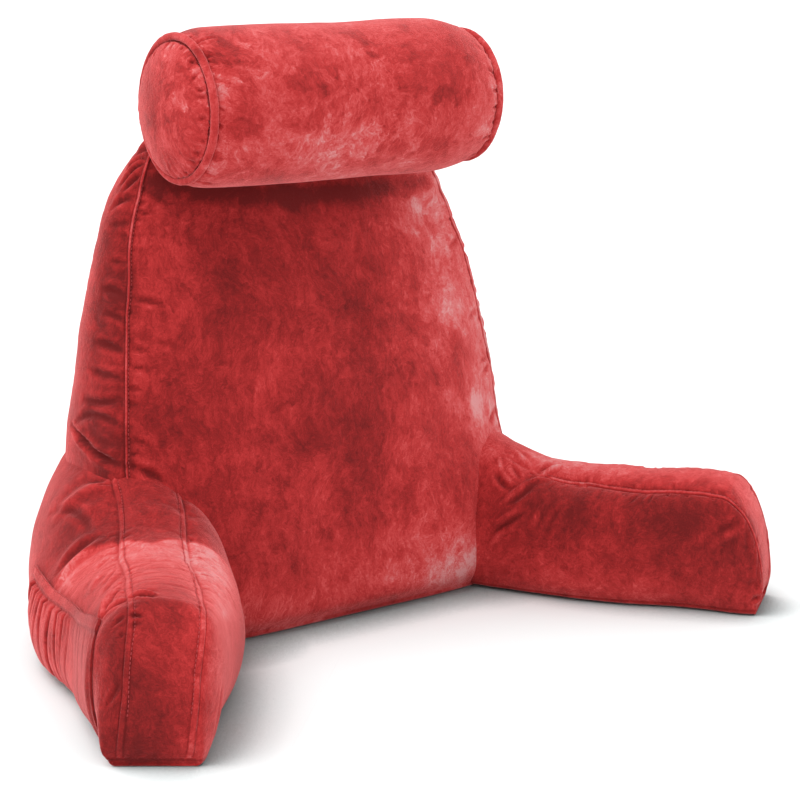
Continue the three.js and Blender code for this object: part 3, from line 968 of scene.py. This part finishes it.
def arm_skin(side, fine, coarse):
    surface = arm_surface(side)
    columns = panel_columns(surface, 0.55, fine, coarse, reach=22)
    rows = piece_rows(surface, 1.5, 0, 1, coarse / 1.5, coarse, reach=40)
    outward = 1 if side == "left" else -1
    return Skin(surface, columns, rows, aspect=4, welts={1: 1, 2: -1}, outward=outward)


def roll_skin(fine, coarse):
    parts = [(-ROLL_CAP["end"], 0), (0, 1), (1, 1 + ROLL_CAP["end"])]
    segments = [piece_rows(roll_surface, 0.3, *part, fine, coarse, reach=22)[:-1] for part in parts]
    rows = np.append(np.concatenate(segments), 1 + ROLL_CAP["end"])
    columns = np.linspace(0, 2 * np.pi, round(ROLL_GIRTH / coarse), endpoint=False)
    return Skin(roll_surface, columns, rows, aspect=4, period=2 * np.pi)


def held_at(skin, reach, low, high):
    """1 at the seams, falling to 0 at reach from them, and 1 at both ends: low and high say from which v
    the hold of each end changes, and over how much of v."""
    away = np.min([skin.away(u) for u in SEAMS], axis=0)
    ends = np.maximum(1 - ease((skin.v - low[0]) / low[1]), ease((skin.v - high[0]) / high[1]))
    return np.maximum(1 - ease(away / reach), ends)


def finished(name, skin, nap_and_painted_light):
    """The piece itself, from its worked skin."""
    faces, points = faces_of(skin), closed_points(skin.points)
    return mesh_object(name, points, faces, closed_points(nap_and_painted_light)), skin


def make_backrest():
    skin = backrest_skin(*STEPS["backrest"])
    coarse = backrest_skin(*COARSE_STEPS["backrest"])
    held = held_at(coarse, reach=14, low=(12, 30), high=(520, 40))
    settle(skin, coarse, held, slack=0.035, cap=8)
    seam = SEAM_LOOKS["backrest"]
    height = sum(seam_height(skin, u, seam) for u in SEAMS)
    height += sum(PUCKERS[u] * puckers(skin, u, size=15, reach=26, seed=11 + u) for u in SEAMS)
    height += creases(skin, BACKREST_CREASES + gathered(skin, BACKREST_GATHERS))
    nap_and_painted_light = nap_and_painted_light_strokes(skin, BACKREST_NAP_AND_PAINTED_LIGHT) + relief_shade_and_highlight(height)
    nap_and_painted_light += sum(seam_shade_and_highlight(skin, u, seam) for u in SEAMS)
    height += 1.8 * lumps(skin.points, size=70, seed=21, octaves=2)
    skin.push(height * ease((skin.v - 4) / 30))
    skin.points = clear_of_roll(skin.points, gap=0.5)
    skin.points[..., 2] = np.maximum(skin.points[..., 2], 0)
    return finished("backrest_cover", skin, nap_and_painted_light)


def make_arm(side, tree):
    skin = arm_skin(side, *STEPS["arm"])
    coarse = arm_skin(side, *COARSE_STEPS["arm"])
    held = held_at(coarse, reach=12, low=(0.02, 0.08), high=(0.93, 0.05))
    settle(skin, coarse, held, slack=0.04, cap=7)
    free = ease((skin.points[..., 2] - 4) / 14)
    sewn = {1: ease((skin.v - SEAM_START[side]) / 0.03), 2: 1}
    seam = SEAM_LOOKS[side]
    height = sum(sewn[u] * seam_height(skin, u, seam) for u in STRIP_SEAMS)
    calm = 1 - 0.7 * ease((skin.v - GATHERED_TO[side]) / 0.08)
    height += calm * sum(1.5 * puckers(skin, u, size=12, reach=22, seed=30 + u) for u in STRIP_SEAMS)
    height += creases(skin, ARM_CREASES[side] + gathered(skin, ARM_GATHERS[side]))
    nap_and_painted_light = nap_and_painted_light_strokes(skin, ARM_NAP_AND_PAINTED_LIGHT[side]) + relief_shade_and_highlight(height) + dark_line_above_floor(skin)
    nap_and_painted_light += sum(sewn[u] * seam_shade_and_highlight(skin, u, seam) for u in STRIP_SEAMS)
    if side == "left":
        nap_and_painted_light += brushed_forward(skin)
    height += 1.3 * lumps(skin.points, size=55, seed=41, octaves=2)
    skin.push(height * free)
    skin.points[..., 2] = np.maximum(skin.points[..., 2], 0)
    skin.points = tuck(skin.points, tree, depth=1.5)
    return finished("arm_" + side + "_cover", skin, nap_and_painted_light)


def make_roll():
    skin = roll_skin(*STEPS["roll"])
    coarse = roll_skin(*COARSE_STEPS["roll"])
    from_cord = np.minimum(np.abs(coarse.v), np.abs(coarse.v - 1)) * ROLL_LENGTH
    settle(skin, coarse, 1 - ease(from_cord / 16), slack=0.03, cap=5)
    x = skin.points[..., 0]
    radial = np.linalg.norm(skin.points[..., 1:] - [ROLL["y"], ROLL["height"]], axis=-1)
    on_cap = (skin.v < 0) | (skin.v > 1)
    along, inward = np.abs(np.abs(x) - ROLL["half_length"]), np.abs(CORD_RING["left"] - radial)
    from_ring = np.where(on_cap, inward, along)
    deep = np.sign(x) * 40 + from_ring * 0.12
    place = points_of(NOISE_RING * np.cos(skin.u), NOISE_RING * np.sin(skin.u), deep)
    drawn = noise3(place / 9, seed=51) + 0.8 * creased(noise3(place / 13, seed=52))
    height = 1.5 * drawn * np.exp(-from_ring / 16) * ease(from_ring / 4)
    height += creases(skin, gathered(skin, ROLL_GATHERS))
    nap_and_painted_light = nap_and_painted_light_strokes(skin, ROLL_NAP_AND_PAINTED_LIGHT) + relief_shade_and_highlight(height)
    skin.push(height + 1.2 * lumps(skin.points, size=60, seed=61, octaves=2))
    return finished("neck_roll_cover", skin, nap_and_painted_light)


def make_cord(side):
    """The covered cord round one end of the roll, slightly crinkled where it bends."""
    end = -1 if side == "left" else 1
    around = np.linspace(0, 2 * np.pi, 320, endpoint=False)
    about = np.linspace(0, 2 * np.pi, 14, endpoint=False)
    a, b = np.meshgrid(around, about, indexing="ij")
    place = points_of(NOISE_RING * np.cos(a), NOISE_RING * np.sin(a), end * 30 + b)
    radius = CORD_RADIUS + 0.25 * noise3(place / 3.2, seed=71) + 0.2 * noise3(place / 9, seed=72)
    reach = CORD_RING[side] + 0.5 * noise3(place / 30, seed=73) + radius * np.cos(b)
    x = end * ROLL["half_length"] + radius * np.sin(b)
    points = points_of(x, ROLL["y"] + reach * np.cos(a), ROLL["height"] + reach * np.sin(a))
    index = np.arange(a.size).reshape(a.shape)
    faces = ring_quads(np.concatenate([index, index[:1]]))
    return mesh_object("cord_" + side + "_cover", points, faces, np.zeros(a.size))


# ------------------------------------------------------------------ pocket


def pocket_gathers(along, depth):
    """How far the pocket's gathered cloth stands off the arm, and how its nap leans there, with painted shade
    between the pleats.
    """
    run = along * POCKET_RUN
    below = np.clip((depth - POCKET_BAND) / (1 - POCKET_BAND), 0, 1)
    drift = noise3(points_of(run / 42, below * 1.1, 0), seed=81)
    phase = run / POCKET_PLEATS["width"] + POCKET_PLEATS["drift"] * drift
    own = noise3(points_of(np.floor(phase) * 7.3, 1.6 * below, 0), seed=82)
    gap = (0.7 + 0.7 * own) * bell(2 * np.abs(phase % 1 - 0.5), POCKET_PLEATS["gap"])
    calm = POCKET_CALM["by"] * ease((along - POCKET_CALM["start"]) / POCKET_CALM["over"])
    rise = ease(below / 0.06) * (1 - 0.6 * below) * ease((1 - below) / 0.1) * (1 - calm)
    pleats = POCKET_PLEATS["height"] * (0.75 + 0.25 * own - gap) * rise
    lowest, middle = depth - POCKET_HANG["depth"], along - POCKET_HANG["along"]
    hang = POCKET_HANG["by"] * bell(lowest, 0.26) * bell(middle, 0.22)
    ripple = 0.6 * noise3(points_of(run / 22, 0, 0), seed=84) * (1 - rise)
    start, end = POCKET["share"][0], POCKET["share"][-1]
    slack = smooth(POCKET, "slack", start + (end - start) * along) * np.sin(np.pi * along) * (1 - depth)
    loose = slack + np.maximum(pleats, -POCKET_STANDOFF) + hang + ripple
    free = ease(along / 0.04) * ease((1 - along) / 0.04)
    # Painted shade in the gaps between the pleats, slightly paler on the pleats, and darker towards the arm's
    # tip.
    nap_and_painted_light = rise * (0.08 - 0.44 * np.minimum(gap, 1)) - 0.20 * ease((along - POCKET_CALM["start"]) / 0.25)
    return POCKET_STANDOFF + free * loose, nap_and_painted_light


def sheet_faces(rows, count):
    """Faces of a sheet whose rows run down its outer side and back up its inner side, with closed ends."""
    index = np.arange(rows * count).reshape(rows, count)
    faces = ring_quads(index)
    for ring, turn in ((index[0].tolist(), -1), (index[-1].tolist(), 1)):
        for i in range(count // 2 - 1):
            faces.append([ring[i], ring[i + 1], ring[count - 2 - i], ring[count - 1 - i]][::turn])
    return faces


def make_pocket(tree):
    """The gathered pocket: one sheet with a doubled hem band, closed round its edges."""
    start, end = POCKET["share"][0], POCKET["share"][-1]
    surface = arm_surface("left")
    shares = piece_rows(surface, 2.4, start, end, fine=0.35, coarse=1.6, reach=9)
    depths = np.append(np.linspace(0, POCKET_BAND, 12, endpoint=False), np.linspace(POCKET_BAND, 1, 52))
    share, depth = np.meshgrid(shares, depths, indexing="ij")
    along = (share - start) / (end - start)
    down = smooth(POCKET, "down", share)
    share = share - POCKET_SETBACK * along * (1 - depth) ** 4
    u = 2 + down + (POCKET_FOOT - down) * depth
    point = surface(u, share)
    step = 1e-3
    outward = unit(np.cross(surface(u + step, share) - point, surface(u, share + step) - point))
    standoff, nap_and_painted_light = pocket_gathers(along, depth)
    inner = point + outward * standoff[..., None]

    flat = inner.reshape(-1, 3)
    deep, _, normal = inside_depth(flat, tree)
    sewn = 1 - ease(np.minimum(along, 1 - along) / 0.05) * ease((1 - depth) / 0.08)
    lift = deep + POCKET_CLEAR
    lift = np.where(lift > 0, lift, lift * sewn.ravel())
    inner = (flat + normal * lift[:, None]).reshape(inner.shape)

    stitched = bell(depth - POCKET_HEM["stitched"] * POCKET_BAND, 0.01)
    doubled = np.where(depth < POCKET_BAND, POCKET_HEM["thicker"], 0)
    cloth = POCKET_CLOTH + doubled - POCKET_HEM["sunk"] * stitched
    from_edge = np.minimum(along, 1 - along) * POCKET_RUN / 1.8
    cloth = cloth * np.sqrt(1 - np.maximum(0, 1 - from_edge) ** 2) + 0.15
    rings = np.concatenate([inner + outward * cloth[..., None], inner[:, ::-1]], 1)
    rings[..., 2] = np.maximum(rings[..., 2], 0.5)
    # Painted shade along the sunk line of stitches and along the band's lower edge.
    nap_and_painted_light = nap_and_painted_light - 0.16 * (stitched + bell(depth - POCKET_BAND, 0.012))
    nap_and_painted_light = np.concatenate([nap_and_painted_light, nap_and_painted_light[:, ::-1]], 1)
    return mesh_object("pocket_left_cover", rings, sheet_faces(*rings.shape[:2]), nap_and_painted_light)


# ------------------------------------------------------------------ stitches

STITCH = {"length": 3.4, "pitch": 4.6, "radius": 0.45, "sides": 5}
# Rings of one stitch: place along its length, girth, and how far it stands out of the cloth.
STITCH_RINGS = [(-0.5, 0.3, -0.35), (-0.3, 1, 0.1), (0.3, 1, 0.1), (0.5, 0.3, -0.35)]
# The seam's own column and those beside it, within which its topstitching lies.
NEAR_SEAM = 14
# Between which values of v the stitches run.
STITCHED = {"backrest": (15, 520), "arm": (0.1, 0.97)}


def make_stitches(name, lines):
    """Rows of thread stitches. Each line has points and normals side by side."""
    sides, pitch = STITCH["sides"], STITCH["pitch"]
    stitches = []
    for line in lines:
        # The normals turn so slowly that they hardly lengthen the line.
        run = distance_along(line)
        at = np.arange(pitch, run[-1] - pitch, pitch)
        at = points_of(*(np.interp(at, run, column) for column in line.T))
        place, normal = at[:, :3], unit(at[:, 3:])
        along = unit(np.gradient(place, axis=0))
        side = np.cross(along, normal)
        rings = []
        for share, girth, stand in STITCH_RINGS:
            centre = place + along * share * STITCH["length"] + normal * stand
            for angle in 2 * math.pi * np.arange(sides) / sides:
                spoke = side * math.cos(angle) + normal * math.sin(angle)
                rings.append(centre + spoke * girth * STITCH["radius"])
        stitches.append(np.stack(rings, 1))
    stitches = np.concatenate(stitches)
    size = stitches.shape[1]
    index = np.arange(size).reshape(-1, sides)
    one = ring_quads(index) + [index[0, ::-1].tolist(), index[-1].tolist()]
    faces = [[size * i + point for point in face] for i in range(len(stitches)) for face in one]
    return mesh_object(name, stitches, faces)


def topstitch_line(skin, u, seam, low, high):
    """The line of topstitching beside the seam at u, between two values of v, as points with normals."""
    away = across(skin, u)
    columns = (skin.column(u) + skin.welts[u] * np.arange(NEAR_SEAM)) % len(skin.columns)
    normal = skin.normals()
    line = []
    for row in np.flatnonzero((skin.rows > low) & (skin.rows < high)):
        part = np.interp(seam["width"] + 1, away[row, columns], np.arange(NEAR_SEAM))
        first, second = columns[int(part)], columns[min(int(part) + 1, NEAR_SEAM - 1)]
        share = part - int(part)
        point = skin.points[row, first] * (1 - share) + skin.points[row, second] * share
        line.append(np.concatenate([point, normal[row, first]]))
    return np.array(line)


# ------------------------------------------------------------------ materials


def connect(tree, node, inputs):
    """Sets sockets of a node by name or number, each to a constant or to another node's output."""
    for name, value in inputs.items():
        if isinstance(value, bpy.types.NodeSocket):
            tree.links.new(value, node.inputs[name])
        else:
            node.inputs[name].default_value = value


def add_node(tree, kind, inputs, **settings):
    made = tree.nodes.new(kind)
    for key, value in settings.items():
        setattr(made, key, value)
    connect(tree, made, inputs)
    return made


def ramp(tree, fac, stops):
    made = add_node(tree, "ShaderNodeValToRGB", {"Fac": fac})
    while len(made.color_ramp.elements) < len(stops):
        made.color_ramp.elements.new(0.5)
    for element, (at, color) in zip(made.color_ramp.elements, stops):
        element.position = at
        element.color = (*color, 1)
    return made.outputs["Color"]


def maths(tree, operation, a, b):
    return add_node(tree, "ShaderNodeMath", {0: a, 1: b}, operation=operation).outputs[0]


def vector_maths(tree, operation, a, b):
    """A sum, difference or product of vectors, or a vector scaled by a number."""
    inputs = {0: a, "Scale" if operation == "SCALE" else 1: b}
    return add_node(tree, "ShaderNodeVectorMath", inputs, operation=operation).outputs[0]


def noise(tree, vector, scale, detail=2.0, roughness=0.5, output="Fac"):
    inputs = {"Vector": vector, "Scale": scale, "Detail": detail, "Roughness": roughness}
    return add_node(tree, "ShaderNodeTexNoise", inputs).outputs[output]


def warped(tree, vector, scale, reach):
    """The vector moved to and fro by up to half of reach, in lumps of 1 / scale."""
    drift = noise(tree, vector, scale, output="Color")
    centred = vector_maths(tree, "SUBTRACT", drift, (0.5, 0.5, 0.5))
    return vector_maths(tree, "ADD", vector, vector_maths(tree, "SCALE", centred, reach))


def step_between(tree, value, low, high):
    """0 below low, 1 above high, smooth between."""
    inputs = {"Value": value, "From Min": low, "From Max": high}
    smooth_step = add_node(tree, "ShaderNodeMapRange", inputs, interpolation_type="SMOOTHSTEP")
    return smooth_step.outputs["Result"]


def patches(tree, vector, scale, share, edge):
    """Patches with one crisp ragged edge each, which fade out on the other side."""
    crisp = step_between(tree, noise(tree, vector, scale, 2.5, 0.55), 0.5, 0.5 + edge)
    fading = step_between(tree, noise(tree, vector, scale * 0.8, 1.0, 0.5), 0.72 - share, 1.0 - share)
    return maths(tree, "MULTIPLY", crisp, fading)


def new_material(name):
    """A material with its node tree and its shader."""
    material = bpy.data.materials.new(name)
    material.use_nodes = True
    return material, material.node_tree, material.node_tree.nodes["Principled BSDF"]


# The pile from its dark side to its pale side.
SHADES = [
    (0.0, (0.13, 0.007, 0.007)),
    (0.27, (0.26, 0.013, 0.013)),
    (0.5, (0.42, 0.026, 0.026)),
    (0.68, (0.54, 0.058, 0.058)),
    (0.84, (0.59, 0.135, 0.135)),
    (1.0, (0.62, 0.27, 0.27)),
]
THREAD_SHADES = [(0.3, (0.30, 0.02, 0.022)), (0.7, (0.45, 0.04, 0.045))]


def velvet(name, tone, crush, stretch=2.5):
    """Crushed velvet. Tone says how pale its pile is on the whole, and crush how strongly it leans to and
    fro in ragged patches. Fine streaks, stretched upwards, run through all of it."""
    material, tree, shader = new_material(name)
    coords = add_node(tree, "ShaderNodeTexCoord", {}).outputs["Object"]
    bent = warped(tree, coords, scale=7, reach=0.07)
    ragged = warped(tree, warped(tree, bent, scale=60, reach=0.016), scale=300, reach=0.007)
    streaked = vector_maths(tree, "MULTIPLY", ragged, (1, 1, 1 / stretch))
    fine = noise(tree, streaked, scale=330, detail=4, roughness=0.7)
    grain = noise(tree, coords, scale=900, detail=1)
    nap_and_painted_light = add_node(tree, "ShaderNodeAttribute", {}, attribute_name="nap_and_painted_light").outputs["Fac"]
    wide = step_between(tree, noise(tree, ragged, 27, 5, 0.6), 0.44, 0.56)
    small = step_between(tree, noise(tree, ragged, 61, 4, 0.6), 0.46, 0.58)
    lively = step_between(tree, noise(tree, bent, 6.5, 1), 0.36, 0.62)
    # What moves the pile between its dark and its pale side, each with how much it counts.
    weights = [
        (noise(tree, bent, scale=11, detail=3, roughness=0.55), 0.45 + 0.35 * crush),
        (maths(tree, "MULTIPLY", wide, lively), 0.2 * crush),
        (maths(tree, "MULTIPLY", small, lively), 0.16 * crush),
        (patches(tree, ragged, scale=38, share=0.32, edge=0.06), -0.2 * crush),
        (noise(tree, streaked, scale=95, detail=4, roughness=0.65), 0.6),
        (fine, 0.7),
        (grain, 0.25),
        # The nap that each piece carries, with its painted shade and painted highlights.
        (nap_and_painted_light, 1.0),
    ]
    # The noises that are spread evenly round a half, and what the patches add on the whole.
    middle = 0.5 * sum(weight for _, weight in weights[:-1] if weight > 0.2) + 0.09 * crush
    parts = [maths(tree, "MULTIPLY", value, weight) for value, weight in weights]
    total = parts[0]
    for part in parts[1:] + [tone - middle]:
        total = maths(tree, "ADD", total, part)
    bump = add_node(tree, "ShaderNodeBump", {"Height": grain, "Strength": 0.35, "Distance": 0.0006})
    inputs = {"Height": fine, "Strength": 0.4, "Distance": 0.003, "Normal": bump.outputs[0]}
    looks = {
        "Base Color": ramp(tree, total, SHADES),
        "Normal": add_node(tree, "ShaderNodeBump", inputs).outputs[0],
        "Roughness": 0.85,
        "Specular IOR Level": 0.15,
        "Sheen Weight": 1.0,
        "Sheen Roughness": 0.35,
        "Sheen Tint": (1, 0.28, 0.28, 1),
    }
    connect(tree, shader, looks)
    return material


def thread(name):
    material, tree, shader = new_material(name)
    coords = add_node(tree, "ShaderNodeTexCoord", {}).outputs["Object"]
    color = ramp(tree, noise(tree, coords, scale=2500), THREAD_SHADES)
    connect(tree, shader, {"Base Color": color, "Roughness": 0.6})
    return material


def dress(obj, material, slot, *nodes):
    """Gives a piece its material, its body and the nodes that it stands for. Slot is not used."""
    obj.data.materials.append(material)
    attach(obj, "root")
    if nodes:
        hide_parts(*nodes)


# ------------------------------------------------------------------ the pillow

velvet_body = velvet("crushed_velvet", 0.41, 0.5)
velvet_roll = velvet("crushed_velvet_roll", 0.60, 0.8)
velvet_pocket = velvet("crushed_velvet_pocket", 0.40, 0.5, stretch=1.2)
velvet_arm = velvet("crushed_velvet_arm", 0.39, 0.3, stretch=1.5)
velvet_cord = velvet("crushed_velvet_piping", 0.54, 0.4)
sewing_thread = thread("sewing_thread")

backrest, backrest_grid = make_backrest()
backrest_tree = tree_of(backrest_grid)
dress(backrest, velvet_body, "velvet", "backrest")

arm_grids = {}
for side in ("left", "right"):
    arm, arm_grids[side] = make_arm(side, backrest_tree)
    dress(arm, velvet_arm, "velvet", "arm_" + side)
    dress(make_cord(side), velvet_cord, "piping", "cord_" + side)

roll, _ = make_roll()
dress(roll, velvet_roll, "roll_velvet", "neck_roll")

pocket = make_pocket(tree_of(arm_grids["left"]))
dress(pocket, velvet_pocket, "pocket_velvet", "pocket_left")

low, high = STITCHED["backrest"]
lines = [topstitch_line(backrest_grid, u, SEAM_LOOKS["backrest"], low, high) for u in SEAMS]
dress(make_stitches("backrest_stitches", lines), sewing_thread, "velvet")
low, high = STITCHED["arm"]
for side, grid in arm_grids.items():
    start = max(low, SEAM_START[side])
    lines = [topstitch_line(grid, u, SEAM_LOOKS[side], start, high) for u in STRIP_SEAMS]
    dress(make_stitches("arm_" + side + "_stitches", lines), sewing_thread, "velvet")

# ------------------------------------------------------------------ floor, camera and light

FLOOR = {"half": 60, "below": 0.0008, "roughness": 0.9}
# Painted shadow: how light the floor's colour is, from places that the pillow shuts in to open ones.
FLOOR_PAINTED_SHADOW = [(0.3, (0.09, 0.10, 0.10)), (0.45, (0.44, 0.53, 0.53)), (0.65, (0.77, 0.82, 0.82))]
SHADOW_REACH = 0.09


def make_floor():
    """A pale floor with a painted shadow: its colour is darker close in front of the pillow, which keeps the
    light from behind off it.
    """
    mesh = bpy.data.meshes.new("floor")
    size, low = FLOOR["half"], -FLOOR["below"]
    corners = [(-size, -size, low), (size, -size, low), (size, size, low), (-size, size, low)]
    mesh.from_pydata(corners, [], [(0, 1, 2, 3)])
    floor = put("floor", mesh)
    material, tree, shader = new_material("studio_floor")
    behind = add_node(tree, "ShaderNodeCombineXYZ", {"X": -0.2, "Y": 0.9, "Z": 0.4}).outputs[0]
    inputs = {"Distance": SHADOW_REACH, "Normal": behind}
    open_share = add_node(tree, "ShaderNodeAmbientOcclusion", inputs, samples=8).outputs["AO"]
    color = ramp(tree, open_share, FLOOR_PAINTED_SHADOW)
    connect(tree, shader, {"Base Color": color, "Roughness": FLOOR["roughness"]})
    mesh.materials.append(material)


def make_camera(place, azimuth, elevation, lens):
    camera = put("camera", bpy.data.cameras.new("camera"))
    camera.data.lens = lens
    camera.location = place
    a, e = math.radians(azimuth), math.radians(elevation)
    ahead = Vector((-math.sin(a) * math.cos(e), math.cos(a) * math.cos(e), -math.sin(e)))
    camera.rotation_euler = ahead.to_track_quat("-Z", "Y").to_euler()
    bpy.context.scene.camera = camera


def make_sun(name, source, spread_deg, strength):
    """A soft light from one direction, so broad that its shadows have no edges."""
    light = put(name, bpy.data.lights.new(name, "SUN"))
    light.data.angle = math.radians(spread_deg)
    light.data.energy = strength
    light.rotation_euler = Vector(source).to_track_quat("Z", "Y").to_euler()


def make_world(strength):
    """White light from all round."""
    world = bpy.data.worlds.new("studio")
    world.use_nodes = True
    background = world.node_tree.nodes["Background"]
    connect(world.node_tree, background, {"Color": (1, 1, 1, 1), "Strength": strength})
    bpy.context.scene.world = world


make_floor()
make_camera((-1.2896, -1.8396, 0.7663), azimuth=-36.2, elevation=12.65, lens=90)
make_sun("key", (-0.42, 0.16, 1.0), spread_deg=46, strength=1.5)
make_world(1.24)
bpy.context.scene.view_settings.view_transform = "Standard"
